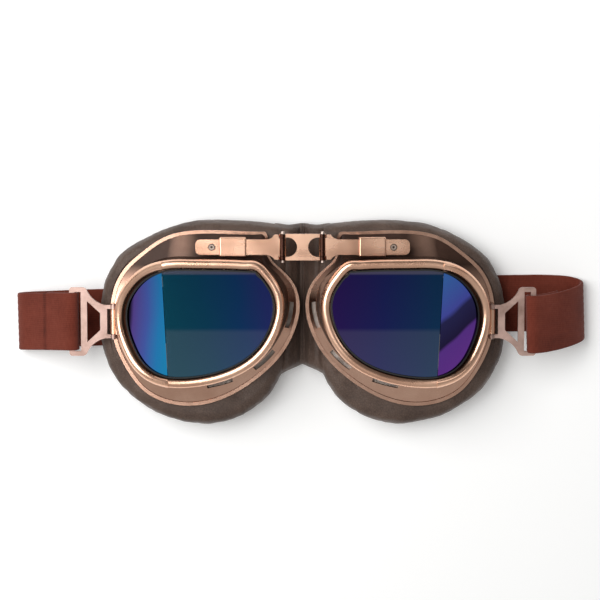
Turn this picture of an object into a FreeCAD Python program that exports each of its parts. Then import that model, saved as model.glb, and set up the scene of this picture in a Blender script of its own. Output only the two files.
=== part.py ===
"""Motorcycle goggles: two hinged metal eyecups with split lenses, leather face pads,
a sliding nose bridge, two pivoting strap buckles and an elastic strap.

The goggles lie on their pads: +X is the wearer's left-to-right width, +Y points to the brow,
+Z points out through the lenses, and the floor is z = 0. The right half is modelled and mirrored.
All lengths are millimetres and all angles are degrees.
"""
import FreeCAD, Part
import math
import os
from FreeCAD import Placement, Rotation, Vector

DIMENSIONS = {
    # face pads
    "pad_height": 17.0,
    "leather": 1.4,
    "lining": 1.5,
    # strap groove across the back of each pad
    "groove_depth": 1.8,
    "groove_width": 34.5,
    "groove_y": 4.7,
    # pressed shell
    "rim_z": 18.0,
    "sheet_metal": 1.2,
    "bead_out": 0.6,
    "bead_high": 1.4,
    "shoulder_z": 24.5,
    "ledge_z": 20.8,
    "shoulder_tilt": 3.5,
    "seat_z": 40.0,
    "seat_thick": 1.1,
    "seat_inset": 7.0,
    # split lens
    "crease_x": 62.9,
    "crease_lean": 2.96,
    "side_slope": 32.0,
    "bezel_width": 4.3,
    "bezel_side": 1.5,
    "bezel_high": 3.8,
    "gasket_outer": 4.5,
    "gasket_inner": 5.15,
    "gasket_high": 3.2,
    "lens_inset": 5.25,
    "lens_thick": 2.2,
    "screen_outer": 2.7,
    "screen_inner": 3.1,
    "screen_drop": 8.2,
    "slot_long": 12.0,
    "slot_high": 5.0,
    "ledge_slot_long": 12.4,
    "ledge_slot_wide": 2.0,
    "ledge_slot_out": 3.3,
    "ledge_screen_z": 17.25,
    "ledge_screen_thick": 0.4,
    # nose bridge
    "bridge_y": 37.0,
    "bridge_z": 28.0,
    "hinge_x": 9.2,
    "pin_dia": 1.6,
    "pin_long": 14.4,
    "knuckle_dia": 3.2,
    "running_gap": 0.05,
    "link_high": 12.2,
    "link_waist": 5.1,
    "link_window": 4.5,
    "plate_thick": 1.6,
    "plate_half": 3.55,
    "plate_end": 49.5,
    "rivet_x": 42.0,
    "sleeve_from": 26.0,
    "sleeve_to": 38.5,
    "sleeve_wide": 9.1,
    "sleeve_high": 3.6,
    "slide_gap": 0.2,
    # strap buckles
    "buckle_x": 88.0,
    "buckle_y": 1.7,
    "buckle_z": 21.3,
    "buckle_thick": 2.0,
    "outer_bar": 19.4,
    "lug_out": 7.75,
    "lug_in": 6.0,
    "barrel_long": 11.4,
    "barrel_dia": 3.4,
    "buckle_pin_dia": 2.0,
    # elastic strap
    "strap_wide": 27.0,
    "strap_thick": 1.5,
    "strap_fold_x": 133.5,
    "strap_fold_r": 5.5,
    "strap_split_x": 88.0,
    "strap_turn": 2.0,
    "strap_mid_y": 4.7,
}

# The eyecup's outline, clockwise from the brow corner at the nose.
# Each station is a point of the rolled rim and the point of the bezel's outer edge beside it.
STATIONS = [
    ((18.8, 43.0), (21.6, 31.6)),
    ((34.0, 43.3), (35.0, 32.2)),
    ((49.7, 43.4), (50.0, 32.4)),
    ((62.7, 40.9), (64.3, 31.7)),
    ((74.4, 33.4), (74.2, 27.2)),
    ((83.6, 24.4), (81.2, 20.0)),
    ((88.2, 13.5), (85.0, 12.6)),
    ((88.9, 2.0), (86.0, 2.0)),
    ((86.8, -10.0), (82.6, -10.0)),
    ((81.4, -21.5), (77.0, -19.2)),
    ((73.6, -31.2), (69.8, -24.4)),
    ((62.5, -36.6), (61.3, -26.5)),
    ((48.0, -37.4), (47.0, -26.0)),
    ((34.0, -32.9), (32.5, -22.2)),
    ((20.6, -24.2), (21.5, -15.8)),
    ((10.4, -13.9), (13.0, -5.6)),
    ((3.6, -0.6), (9.2, 4.0)),
    ((2.0, 10.5), (8.4, 12.0)),
    ((4.6, 18.8), (10.8, 20.4)),
    ((11.0, 26.0), (14.4, 25.8)),
    ((16.4, 33.4), (17.6, 29.4)),
]
RIM = [station[0] for station in STATIONS]
LENS = [station[1] for station in STATIONS]

# The widest outline of a face pad, clockwise from its brow corner at the nose.
PAD = [
    (12.0, 46.2), (24.0, 47.4), (36.0, 48.0), (49.0, 47.6), (61.0, 45.2), (74.0, 39.4), (85.0, 32.0),
    (92.0, 20.6), (94.6, 8.0), (95.0, -5.0), (92.6, -17.0), (85.5, -30.0), (72.4, -40.6),
    (58.6, -46.2), (44.0, -47.9), (31.0, -45.0), (18.6, -37.2), (11.2, -27.0), (7.4, -16.0),
    (6.5, 2.0), (6.5, 22.0), (6.8, 38.0), (8.2, 43.4),
]
# The eye opening through the pad, clockwise from its brow corner at the nose.
EYE = [
    (26.0, 28.0), (40.0, 29.6), (56.0, 29.2), (69.0, 26.4), (78.0, 19.4), (82.0, 8.0), (81.6, -4.0),
    (76.0, -15.2), (66.0, -22.0), (52.0, -23.6), (38.0, -21.0), (26.0, -14.4), (18.6, -4.0),
    (16.6, 8.0), (19.0, 20.0),
]
# How far the pad's side pulls in at each height, as (share of the pad's height, inset).
PAD_SIDE = [(0.0, 3.2), (0.18, 0.8), (0.47, 0.0), (0.76, 0.9), (1.0, 4.2)]

# Middles of the vent slots, as points beside the bezel.
VENTS = [(33.0, 32.2), (56.0, 32.4), (74.6, 27.2), (49.5, -26.3), (26.5, -19.4), (11.4, -2.5), (11.0, 20.6)]

# Middles of the slots in the ledge beside the wall, on the nose side and along the bottom.
LEDGE_VENTS = [(39.5, -24.4), (20.0, -14.3), (8.9, 5.2)]

CREASE_GAP = 0.12
PRISM_TOP = 60.0

doc = FreeCAD.newDocument("goggles")
sheet = doc.addObject("Spreadsheet::Sheet", "sizes")
for row, (alias, value) in enumerate(DIMENSIONS.items(), start=1):
    sheet.set(f"A{row}", alias)
    sheet.set(f"B{row}", str(value))
    sheet.setAlias(f"B{row}", alias)
doc.recompute()

subparts = []


def size(alias):
    """A driving dimension, read from the sheet."""
    return float(sheet.get(alias))


def keep(feature, label):
    """Name an object and list it as one of the object's own pieces."""
    feature.Label = label
    subparts.append(feature)
    return feature


# ---------------------------------------------------------------- outlines

def offset(points, distance):
    """Points of a clockwise outline, moved outwards by a distance."""
    moved = []
    for index, (x, y) in enumerate(points):
        before = Vector(x - points[index - 1][0], y - points[index - 1][1], 0).normalize()
        after_point = points[(index + 1) % len(points)]
        after = Vector(after_point[0] - x, after_point[1] - y, 0).normalize()
        along = (before + after).normalize()
        moved.append((x - along.y * distance, y + along.x * distance))
    return moved


def chord_parameters(points):
    """Parameters that grow with the distance along a closed outline."""
    total = [0.0]
    for index, (x, y) in enumerate(points):
        after = points[(index + 1) % len(points)]
        total.append(total[-1] + math.hypot(after[0] - x, after[1] - y))
    return total


def spline(points, heights=0.0, spacing=None):
    """A closed smooth curve through the points, at one height or at a height for each point."""
    if not isinstance(heights, list):
        heights = [heights] * len(points)
    curve = Part.BSplineCurve()
    curve.interpolate(
        Points=[Vector(x, y, z) for (x, y), z in zip(points, heights)],
        PeriodicFlag=True,
        Parameters=chord_parameters(spacing or points),
    )
    return curve


def smooth_offset(points, distance, count=56):
    """Evenly spaced points at a true distance outside a smooth clockwise outline."""
    curve = spline(points)
    moved = []
    for index in range(count):
        parameter = curve.FirstParameter + (curve.LastParameter - curve.FirstParameter) * index / count
        point = curve.value(parameter)
        along = curve.tangent(parameter)[0].normalize()
        moved.append((point.x - along.y * distance, point.y + along.x * distance))
    return moved


def segments(points):
    """The straight sides of a closed polygon."""
    corners = [Vector(x, y, 0) for x, y in points]
    return [Part.LineSegment(a, b) for a, b in zip(corners, corners[1:] + corners[:1])]


def rectangle(x_low, x_high, y_low, y_high):
    return segments([(x_low, y_low), (x_high, y_low), (x_high, y_high), (x_low, y_high)])


def three_point_arc(start, middle, end):
    return Part.Arc(Vector(*start, 0), Vector(*middle, 0), Vector(*end, 0))


def circle(x, y, radius):
    return Part.Circle(Vector(x, y, 0), Vector(0, 0, 1), radius)


# ---------------------------------------------------------------- bodies

def new_body(label):
    return keep(doc.addObject("PartDesign::Body", label), label)


def sketch(body, role, geometry, lift=None, turn=None):
    """A sketch on one of the body's own planes, raised along the plane's normal by an expression."""
    drawing = body.newObject("Sketcher::SketchObject", f"{body.Name}_sketch")
    support = [plane for plane in body.Origin.OriginFeatures if plane.Role == role][0]
    drawing.AttachmentSupport = [(support, "")]
    drawing.MapMode = "FlatFace"
    if turn:
        drawing.AttachmentOffset = turn
    for piece in geometry:
        drawing.addGeometry(piece, False)
    if lift:
        drawing.setExpression(".AttachmentOffset.Base.z", lift)
    return drawing


def pad(body, drawing, length, both_ways=False):
    """Add the sketch's area, as thick as an expression says."""
    feature = body.newObject("PartDesign::Pad", f"{body.Name}_pad")
    feature.Profile = drawing
    feature.Midplane = both_ways
    feature.setExpression("Length", length)
    doc.recompute()
    return feature


def pocket(body, drawing, length=None, downwards=False):
    """Cut the sketch's area out, all the way through both ways or to a depth."""
    before = body.Shape.Volume
    feature = body.newObject("PartDesign::Pocket", f"{body.Name}_pocket")
    feature.Profile = drawing
    if length:
        feature.Reversed = not downwards
        feature.setExpression("Length", length)
    else:
        feature.Midplane = True
        feature.Type = "ThroughAll"
    doc.recompute()
    if not 0.02 * before < body.Shape.Volume < before - 0.01:
        raise RuntimeError(f"{body.Label}: a pocket cuts nothing, or everything")
    return feature


def loft(body, kind, sections):
    """Add or take away a smooth loft through closed outlines, each at the height of an expression."""
    drawings = [sketch(body, "XY_Plane", [spline(points)], lift=lift) for points, lift in sections]
    feature = body.newObject(f"PartDesign::{kind}Loft", f"{body.Name}_loft")
    feature.Profile = drawings[0]
    feature.Sections = drawings[1:]
    doc.recompute()
    return feature


def bent_profile(low, high, start, end):
    """A strip that runs level to the crease and then slopes down, from one distance to another."""
    slope = math.tan(math.radians(size("side_slope")))
    bends = [start] + ([0.0] if start < 0 < end else []) + [end]

    def drop(distance):
        return slope * max(0.0, distance)

    under = [(u, low - drop(u)) for u in bends]
    over = [(u, high - drop(u)) for u in reversed(bends)]
    return segments(under + over)


def bent_body(label, low, high, outer, inner=None, start=-90.0, end=45.0):
    """A plate that follows the lens's bend, cut to the lens outline, with an optional opening."""
    body = new_body(label)
    lean = Placement(Vector(size("crease_x"), 0, 0), Rotation(Vector(0, 1, 0), -size("crease_lean")))
    strip = sketch(body, "XZ_Plane", bent_profile(low, high, start, end), turn=lean)
    pad(body, strip, "120 mm", both_ways=True)
    around = [spline(smooth_offset(LENS, -outer))] + rectangle(-60, 160, -90, 90)
    pocket(body, sketch(body, "XY_Plane", around))
    if inner:
        pocket(body, sketch(body, "XY_Plane", [spline(smooth_offset(LENS, -inner))]))
    return body


# ---------------------------------------------------------------- free-form shapes

def lens_height(x, y):
    """Height of the lens seat: level over the front pane, falling away beyond the crease."""
    lean = math.radians(size("crease_lean"))
    beyond = (x - size("crease_x")) * math.cos(lean) - y * math.sin(lean)
    return size("seat_z") - math.tan(math.radians(size("side_slope"))) * max(0.0, beyond)


def bent_solid(low, high, start=-90.0, end=60.0):
    """The block between two bent surfaces, given as heights over the front of the lens."""
    edges = [segment.toShape() for segment in bent_profile(low, high, start, end)]
    face = Part.Face(Part.Wire(edges))
    face.rotate(Vector(), Vector(1, 0, 0), 90)
    block = face.extrude(Vector(0, 160, 0))
    block.translate(Vector(size("crease_x"), -80, 0))
    block.rotate(Vector(size("crease_x"), 0, 0), Vector(0, 0, 1), -size("crease_lean"))
    return block


def prism(points, low=0.0, high=PRISM_TOP):
    face = Part.Face(Part.Wire(spline(points, low).toShape()))
    return face.extrude(Vector(0, 0, high - low))


def shell_solid(rim, foot, foot_heights, top, low, high):
    """Straight-sided loft from the rim over the wall's foot to the lens seat."""
    levels = [(rim, low), (foot, foot_heights), (top, high)]
    wires = [Part.Wire(spline(points, z, LENS).toShape()) for points, z in levels]
    return Part.makeLoft(wires, True, True)


def shoulder():
    """The foot of the steep wall, as points and their heights.

    It stands out from the bezel over a low ledge, but at the temple and the brow it is close in and higher.
    """
    points = []
    heights = []
    tilt = math.tan(math.radians(size("shoulder_tilt")))
    for (x, y), (near_x, near_y) in zip(offset(LENS, 1.9), offset(LENS, -0.4)):
        share = min(1.0, max(0.0, (x - 70.0) / 14.0, (y - 20.0) / 8.0))
        points.append((x + (near_x - x) * share, y + (near_y - y) * share))
        high = size("shoulder_z") - tilt * points[-1][0]
        heights.append(size("ledge_z") + (high - size("ledge_z")) * share)
    return points, heights


def vent_slot(middle, edge_curve):
    """A bar that cuts one slot through the wall just under the lens seat."""
    length = size("slot_long")
    parameter = edge_curve.parameter(Vector(*middle, 0))
    ends = []
    for step in (-length / 2, length / 2):
        point = edge_curve.value(parameter + step)
        ends.append(Vector(point.x, point.y, lens_height(point.x, point.y)))
    along = (ends[1] - ends[0]).normalize()
    across = Vector(0, 0, 1).cross(along).normalize()
    up = along.cross(across)
    bar = Part.makeBox(length, 8.0, size("slot_high"), Vector(-length / 2, -4.0, 0))
    centre = (ends[0] + ends[1]) * 0.5 - Vector(0, 0, size("seat_thick") + 0.3 + size("slot_high"))
    turn = FreeCAD.Matrix(
        along.x, across.x, up.x, centre.x,
        along.y, across.y, up.y, centre.y,
        along.z, across.z, up.z, centre.z,
        0, 0, 0, 1)
    return bar.transformGeometry(turn)


def ledge_slot(middle, edge_curve):
    """A curved block, square at both ends, that cuts one long slot down through the ledge."""
    parameter = edge_curve.parameter(Vector(*middle, 0))
    point = edge_curve.value(parameter)
    along = edge_curve.tangent(parameter)[0].normalize()
    outwards = Vector(-along.y, along.x, 0)
    half = size("ledge_slot_wide") / 2
    low = size("rim_z") - 2.0
    high = low + 12.0
    ring = prism(smooth_offset(LENS, size("ledge_slot_out") + half), low, high)
    ring = ring.cut(prism(smooth_offset(LENS, size("ledge_slot_out") - half), low - 1, high + 1))
    reach = along * (size("ledge_slot_long") / 2)
    corners = [point - reach, point + reach, point + reach + outwards * 8, point - reach + outwards * 8]
    window = Part.Face(Part.makePolygon(corners + corners[:1])).extrude(Vector(0, 0, high + 1))
    return ring.common(window)


def ledge_screen():
    """Flat strip of wire screen under the ledge's slots."""
    low = size("ledge_screen_z")
    high = low + size("ledge_screen_thick")
    middle = size("ledge_slot_out")
    ring = prism(smooth_offset(LENS, middle + 0.9), low, high)
    ring = ring.cut(prism(smooth_offset(LENS, middle - 1.15), low - 1, high + 1))
    reach = Part.makeBox(57.0, 62.0, 4.0, Vector(0, -44.0, low - 1))
    return ring.common(reach)


def vent_screen():
    """Wire screen behind the wall's slots, and its strip under the ledge."""
    seat = size("seat_z")
    wall = bent_solid(seat - size("screen_drop"), seat - size("seat_thick") - 0.1)
    wall = wall.common(prism(smooth_offset(LENS, -size("screen_outer"))))
    wall = wall.cut(prism(smooth_offset(LENS, -size("screen_inner"))))
    return Part.makeCompound([wall, ledge_screen()])


def eyecup_shell():
    """Pressed shell: rolled rim, flange, steep vented wall and in-turned lens seat."""
    thick = size("sheet_metal")
    foot, heights = shoulder()
    top = offset(LENS, -0.9)
    outer = shell_solid(RIM, foot, heights, top, size("rim_z"), size("seat_z") + 1)
    inner = shell_solid(
        offset(RIM, -thick), offset(foot, -thick), [z - thick for z in heights],
        offset(top, -thick), size("rim_z") - 1.2, size("seat_z") + 1.2)
    above = bent_solid(size("seat_z"), size("seat_z") + 60)
    wall = outer.cut(inner).cut(above)
    bead_low = size("rim_z") - size("bead_high") / 2
    bead_top = bead_low + size("bead_high")
    bead = prism(offset(RIM, size("bead_out")), bead_low, bead_top)
    bead = bead.cut(prism(offset(RIM, -1.0), bead_low - 1, bead_top + 1))
    seat = bent_solid(size("seat_z") - size("seat_thick"), size("seat_z"))
    seat = seat.common(prism(offset(LENS, -1.3))).cut(prism(offset(LENS, -size("seat_inset"))))
    shell = wall.fuse([bead, seat])
    edge_curve = spline(LENS)
    slots = [vent_slot(middle, edge_curve) for middle in VENTS]
    slots += [ledge_slot(middle, edge_curve) for middle in LEDGE_VENTS]
    return shell.cut(slots).removeSplitter()


def half_round(point, across, up):
    """The bezel's section: a flat base, low sides and a round crown."""
    half = size("bezel_width") / 2
    side = size("bezel_side")
    crown = size("bezel_high")

    def at(u, v):
        return point + across * u + up * v

    edges = [
        Part.LineSegment(at(-half, side), at(-half, 0)).toShape(),
        Part.LineSegment(at(-half, 0), at(half, 0)).toShape(),
        Part.LineSegment(at(half, 0), at(half, side)).toShape(),
        Part.Arc(at(half, side), at(0, crown), at(-half, side)).toShape(),
    ]
    return Part.Wire(edges)


def lens_bezel():
    """Half-round band round both panes, mitred at the crease."""
    middle = smooth_offset(LENS, -size("bezel_width") / 2)
    slope = math.radians(size("side_slope"))
    lean = math.radians(size("crease_lean"))
    beyond = [x - size("crease_x") - y * math.tan(lean) for x, y in middle]
    count = len(middle)
    first_side = min(i for i in range(count) if beyond[i] > 0)
    last_side = max(i for i in range(count) if beyond[i] > 0)
    side_run = range(first_side - 2, last_side + 3)
    front_run = range(last_side - 1, first_side + count + 2)
    level = Vector(0, 0, 1)
    tilted = Vector(math.sin(slope) * math.cos(lean), -math.sin(slope) * math.sin(lean), math.cos(slope))
    bands = []
    for run, up, half_space in ((front_run, level, (-120.0, 0.0)), (side_run, tilted, (0.0, 60.0))):
        route = []
        for index in run:
            x, y = middle[index % count]
            depth = 0.0 if up is level else math.tan(slope) * math.cos(lean) * beyond[index % count]
            route.append(Vector(x, y, size("seat_z") - depth))
        curve = Part.BSplineCurve()
        curve.interpolate(Points=route)
        along = curve.tangent(curve.FirstParameter)[0]
        section = half_round(route[0], up.cross(along).normalize(), up)
        sweep = Part.BRepOffsetAPI.MakePipeShell(Part.Wire(curve.toShape()))
        sweep.setBiNormalMode(up)
        sweep.add(section)
        sweep.build()
        sweep.makeSolid()
        bands.append(sweep.shape().common(bent_solid(-60, 120, *half_space)))
    return bands[0].fuse(bands[1]).removeSplitter()


def free_form(label, shape):
    feature = doc.addObject("Part::Feature", label)
    feature.Shape = shape
    feature.Placement = Placement()
    return keep(feature, label)


# ---------------------------------------------------------------- face pads

def pad_cover():
    """Leather skin of the pad: a rounded roll, hollow for the foam and open at its back."""
    body = new_body("pad_cover_right")
    loft(body, "Additive", [
        (offset(PAD, -inset), f"{share} * sizes.pad_height") for share, inset in PAD_SIDE])
    skin = size("leather")
    hollow = [(offset(PAD, -inset - skin), f"{share} * (sizes.pad_height - sizes.leather)")
              for share, inset in PAD_SIDE]
    before = body.Shape.Volume
    loft(body, "Subtractive", hollow)
    if body.Shape.Volume > 0.7 * before:
        raise RuntimeError("the pad's hollow is not cut")
    pocket(body, sketch(body, "XY_Plane", [spline(EYE)]))
    edge = [spline(offset(EYE, skin)), spline(EYE)]
    pad(body, sketch(body, "XY_Plane", edge), "sizes.pad_height - sizes.leather / 2")
    pocket(body, sketch(body, "XY_Plane", groove_area(0), lift="-1"), "sizes.groove_depth + 1")


def groove_area(margin):
    """The strap's way across the back of the pad, widened by a margin."""
    half = size("groove_width") / 2 + margin
    return rectangle(-10, 110, size("groove_y") - half, size("groove_y") + half)


def pad_ring(label, outer_inset, lift, height):
    """A ring that fills the leather skin between its outer side and the eye opening."""
    body = new_body(label)
    ring = [spline(offset(PAD, -outer_inset)), spline(offset(EYE, size("leather") + 0.05))]
    pad(body, sketch(body, "XY_Plane", ring, lift=lift), height)
    return body


def pad_lining():
    """Thin back of the pad. It steps up over the strap and back down."""
    body = pad_ring("pad_lining_right", 4.7, "0 mm", "sizes.groove_depth + sizes.lining")
    pocket(body, sketch(body, "XY_Plane", groove_area(0), lift="-1"), "sizes.groove_depth + 1")
    outside = rectangle(-20, 120, -90, 90) + groove_area(size("lining"))
    pocket(body, sketch(body, "XY_Plane", outside, lift="sizes.lining"), "20 mm")


def nose_leather():
    """Soft leather folded into a valley between the two pads."""
    body = new_body("nose_bridge_leather")
    profile = [(-6.2, 14.0), (-3.0, 14.6), (0.0, 8.5), (3.0, 14.6), (6.2, 14.0),
               (6.2, 11.2), (3.4, 11.4), (0.0, 5.0), (-3.4, 11.4), (-6.2, 11.2)]
    pad(body, sketch(body, "XZ_Plane", segments(profile), lift="-14 mm"), "62 mm", both_ways=True)


# ---------------------------------------------------------------- nose bridge

def knuckle(body, x, y, z, diameter, length, bore):
    """A barrel along Y with its bore, centred on a hinge line. The sizes are expressions."""
    barrel = circle(size(x), size(z), size(diameter) / 2)
    lift = f"-sizes.{y}"
    pad(body, sketch(body, "XZ_Plane", [barrel], lift=lift), length, both_ways=True)
    hole = circle(size(x), size(z), size(bore) / 2 + size("running_gap"))
    pocket(body, sketch(body, "XZ_Plane", [hole], lift=lift))


def centre_link():
    """Small plate between the hinge lines, with a half-round window at each end."""
    body = new_body("centre_link")
    half_x = size("hinge_x")
    half_y = size("link_high") / 2
    y = size("bridge_y")
    under = "sizes.bridge_z - sizes.plate_thick / 2"
    plate = rectangle(-half_x, half_x, y - half_y, y + half_y)
    pad(body, sketch(body, "XY_Plane", plate, lift=under), "sizes.plate_thick")
    ends = [circle(side * half_x, size("bridge_z"), size("knuckle_dia") / 2) for side in (-1, 1)]
    drawing = sketch(body, "XZ_Plane", ends, lift="-sizes.bridge_y")
    pad(body, drawing, "sizes.link_high", both_ways=True)
    window = size("link_window")
    start = size("link_waist") / 2 + window
    for side in (-1, 1):
        near = side * start
        far = side * (half_x + 4)
        lines = [Part.LineSegment(Vector(near, y + window, 0), Vector(far, y + window, 0)),
                 Part.LineSegment(Vector(far, y + window, 0), Vector(far, y - window, 0)),
                 Part.LineSegment(Vector(far, y - window, 0), Vector(near, y - window, 0))]
        round_end = three_point_arc((near, y - window), (near - side * window, y), (near, y + window))
        pocket(body, sketch(body, "XY_Plane", lines + [round_end], lift="sizes.bridge_z"))
    bores = [circle(side * half_x, size("bridge_z"), size("pin_dia") / 2 + size("running_gap"))
             for side in (-1, 1)]
    pocket(body, sketch(body, "XZ_Plane", bores, lift="-sizes.bridge_y"))


def slide_plate():
    """T-shaped plate: a knuckle on the hinge pin, a flared head and a long strip with a rounded tab."""
    body = new_body("slide_plate_right")
    y = size("bridge_y")
    strip = size("plate_half")
    end = size("plate_end")
    root = 4.2
    head = 5.75
    upper = [(size("hinge_x"), root), (11.1, root), (11.1, head), (13.0, head)]
    lower = [(x, -v) for x, v in reversed(upper)]

    def line(first, second):
        return Part.LineSegment(Vector(first[0], y + first[1], 0), Vector(second[0], y + second[1], 0))

    outline = [line(first, second) for first, second in zip(upper, upper[1:])]
    outline.append(three_point_arc((13.0, y + head), (14.5, y + 4.25), (18.0, y + strip)))
    outline.append(line((18.0, strip), (end - 2.5, strip)))
    outline.append(three_point_arc((end - 2.5, y + strip), (end - 0.7, y + strip - 0.7), (end, y + 1.2)))
    outline.append(line((end, 1.2), (end, -1.2)))
    outline.append(three_point_arc((end, y - 1.2), (end - 0.7, y - strip + 0.7), (end - 2.5, y - strip)))
    outline.append(line((end - 2.5, -strip), (18.0, -strip)))
    outline.append(three_point_arc((18.0, y - strip), (14.5, y - 4.25), (13.0, y - head)))
    outline += [line(first, second) for first, second in zip(lower, lower[1:])]
    outline.append(line(lower[-1], upper[0]))
    under = "sizes.bridge_z - sizes.plate_thick / 2"
    pad(body, sketch(body, "XY_Plane", outline, lift=under), "sizes.plate_thick")
    knuckle(body, "hinge_x", "bridge_y", "bridge_z", "knuckle_dia", "8.4 mm", "pin_dia")
    hole = circle(size("rivet_x"), y, 1.02)
    pocket(body, sketch(body, "XY_Plane", [hole], lift="sizes.bridge_z"))


def stop_rivet():
    """Hollow-headed rivet in the tab, which stops the plate from sliding out of its sleeve."""
    body = new_body("stop_rivet_right")
    x = size("rivet_x")
    y = size("bridge_y")
    under = "sizes.bridge_z - sizes.plate_thick / 2"
    over = "sizes.bridge_z + sizes.plate_thick / 2"
    pad(body, sketch(body, "XY_Plane", [circle(x, y, 1.6)], lift=f"{under} - 0.55"), "0.5 mm")
    pad(body, sketch(body, "XY_Plane", [circle(x, y, 1.0)], lift=f"{under} - 0.3"),
        "sizes.plate_thick + 0.6")
    pad(body, sketch(body, "XY_Plane", [circle(x, y, 1.6)], lift=f"{over} + 0.05"), "0.6 mm")
    pocket(body, sketch(body, "XY_Plane", [circle(x, y, 0.7)], lift=f"{over} - 0.2"), "2 mm")


def slide_sleeve():
    """Rounded sleeve that the slide plate runs through."""
    body = new_body("slide_sleeve_right")
    y = size("bridge_y")
    half = size("sleeve_wide") / 2
    area = rectangle(size("sleeve_from"), size("sleeve_to"), y - half, y + half)
    pad(body, sketch(body, "XY_Plane", area, lift="sizes.bridge_z - sizes.sleeve_high / 2"),
        "sizes.sleeve_high")
    top = size("bridge_z") + size("sleeve_high") / 2
    block = body.Tip
    edges = [f"Edge{number}" for number, edge in enumerate(block.Shape.Edges, start=1)
             if edge.BoundBox.ZMin > top - 0.01 or edge.BoundBox.ZLength > 1.0]
    rounding = body.newObject("PartDesign::Fillet", "sleeve_rounding")
    rounding.Base = (block, edges)
    rounding.Radius = 0.7
    doc.recompute()
    way = size("plate_half") + size("slide_gap")
    low = size("bridge_z") - size("plate_thick") / 2 - size("slide_gap")
    high = size("bridge_z") + size("plate_thick") / 2 + size("slide_gap")
    pocket(body, sketch(body, "YZ_Plane", rectangle(y - way, y + way, low, high), lift="32"))


def sleeve_rivets():
    """Two posts that rivet the sleeve to the shell's flange."""
    posts = []
    for x in (28.8, 35.8):
        post = doc.addObject("Part::Cylinder", "post")
        post.Radius = 1.3
        post.Height = 6.3
        post.setExpression(".Placement.Base.x", f"{x}")
        post.setExpression(".Placement.Base.y", "sizes.bridge_y - 0.6")
        post.setExpression(".Placement.Base.z", "sizes.bridge_z - sizes.sleeve_high / 2 - 6.32")
        posts.append(post)
    pair = doc.addObject("Part::Compound", "sleeve_rivets_right")
    pair.Links = posts
    keep(pair, "sleeve_rivets_right")


def pin(label, diameter, length, x, y, z):
    """A plain pin along Y, centred on its hinge line."""
    rod = doc.addObject("Part::Cylinder", label)
    rod.setExpression("Radius", f"sizes.{diameter} / 2")
    rod.setExpression("Height", length)
    rod.Placement = Placement(Vector(), Rotation(Vector(1, 0, 0), -90))
    rod.setExpression(".Placement.Base.x", f"sizes.{x}")
    rod.setExpression(".Placement.Base.y", f"sizes.{y} - ({length}) / 2")
    rod.setExpression(".Placement.Base.z", f"sizes.{z}")
    keep(rod, label)


# ---------------------------------------------------------------- strap buckle

def strap_bracket():
    """Barrel for the buckle pin, on a tongue that stands against the shell's temple wall."""
    body = new_body("strap_bracket_right")
    tongue = rectangle(86.0, 86.9, size("buckle_z") - 2.0, 24.7)
    pad(body, sketch(body, "XZ_Plane", tongue, lift="-sizes.buckle_y"), "sizes.barrel_long", both_ways=True)
    knuckle(body, "buckle_x", "buckle_y", "buckle_z", "barrel_dia", "sizes.barrel_long", "buckle_pin_dia")


def strap_buckle():
    """Cast plate with two lugs, a tapered window, a crossbar, a strap slot and an outer bar."""
    body = new_body("strap_buckle_right")
    x = size("buckle_x")
    y = size("buckle_y")
    lug_out = size("lug_out")
    lug_in = size("lug_in")

    def at(u, v):
        return (x + u, y + v)

    def line(first, second):
        return Part.LineSegment(Vector(*at(*first), 0), Vector(*at(*second), 0))

    def mirrored(points):
        return [(u, -v) for u, v in reversed(points)]

    corners = [
        ((3.6, lug_out), (8.2, 9.6), (12.2, 14.2)),
        ((12.2, 14.2), (13.2, 15.6), (14.6, 16.0)),
        ((19.2, 16.0), (20.2, 15.6), (20.6, 14.6)),
    ]
    half = [line((0.0, lug_out), corners[0][0])]
    half.append(three_point_arc(*[at(*point) for point in corners[0]]))
    half.append(three_point_arc(*[at(*point) for point in corners[1]]))
    half.append(line(corners[1][2], corners[2][0]))
    half.append(three_point_arc(*[at(*point) for point in corners[2]]))
    other = [line(*mirrored([(0.0, lug_out), corners[0][0]]))]
    other += [three_point_arc(*[at(*point) for point in mirrored(corner)]) for corner in corners]
    other.append(line(*mirrored([corners[1][2], corners[2][0]])))
    outline = half + other + [line(corners[2][2], mirrored(corners[2])[0])]
    gap = [(0.0, -lug_out), (0.0, -lug_in), (3.0, -lug_in), (3.0, lug_in), (0.0, lug_in), (0.0, lug_out)]
    outline += [line(first, second) for first, second in zip(gap, gap[1:])]
    window = segments([at(6.2, -4.0), at(12.3, -9.6), at(12.3, 9.6), at(6.2, 4.0)])
    slot = segments([at(15.2, -13.9), at(18.2, -13.9), at(18.2, 13.9), at(15.2, 13.9)])
    drawing = sketch(body, "XY_Plane", outline + window + slot,
                     lift="sizes.buckle_z - sizes.buckle_thick / 2")
    pad(body, drawing, "sizes.buckle_thick")
    barrel = circle(x, size("buckle_z"), size("barrel_dia") / 2)
    lift = "-sizes.buckle_y"
    pad(body, sketch(body, "XZ_Plane", [barrel], lift=lift), "2 * sizes.lug_out", both_ways=True)
    # This pocket trims the barrel back to the two lugs.
    between = segments([at(-3.0, -lug_in), at(3.0, -lug_in), at(3.0, lug_in), at(-3.0, lug_in)])
    pocket(body, sketch(body, "XY_Plane", between, lift="sizes.buckle_z"))
    hole = circle(x, size("buckle_z"), size("buckle_pin_dia") / 2 + size("running_gap"))
    pocket(body, sketch(body, "XZ_Plane", [hole], lift=lift))


# ---------------------------------------------------------------- strap

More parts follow.
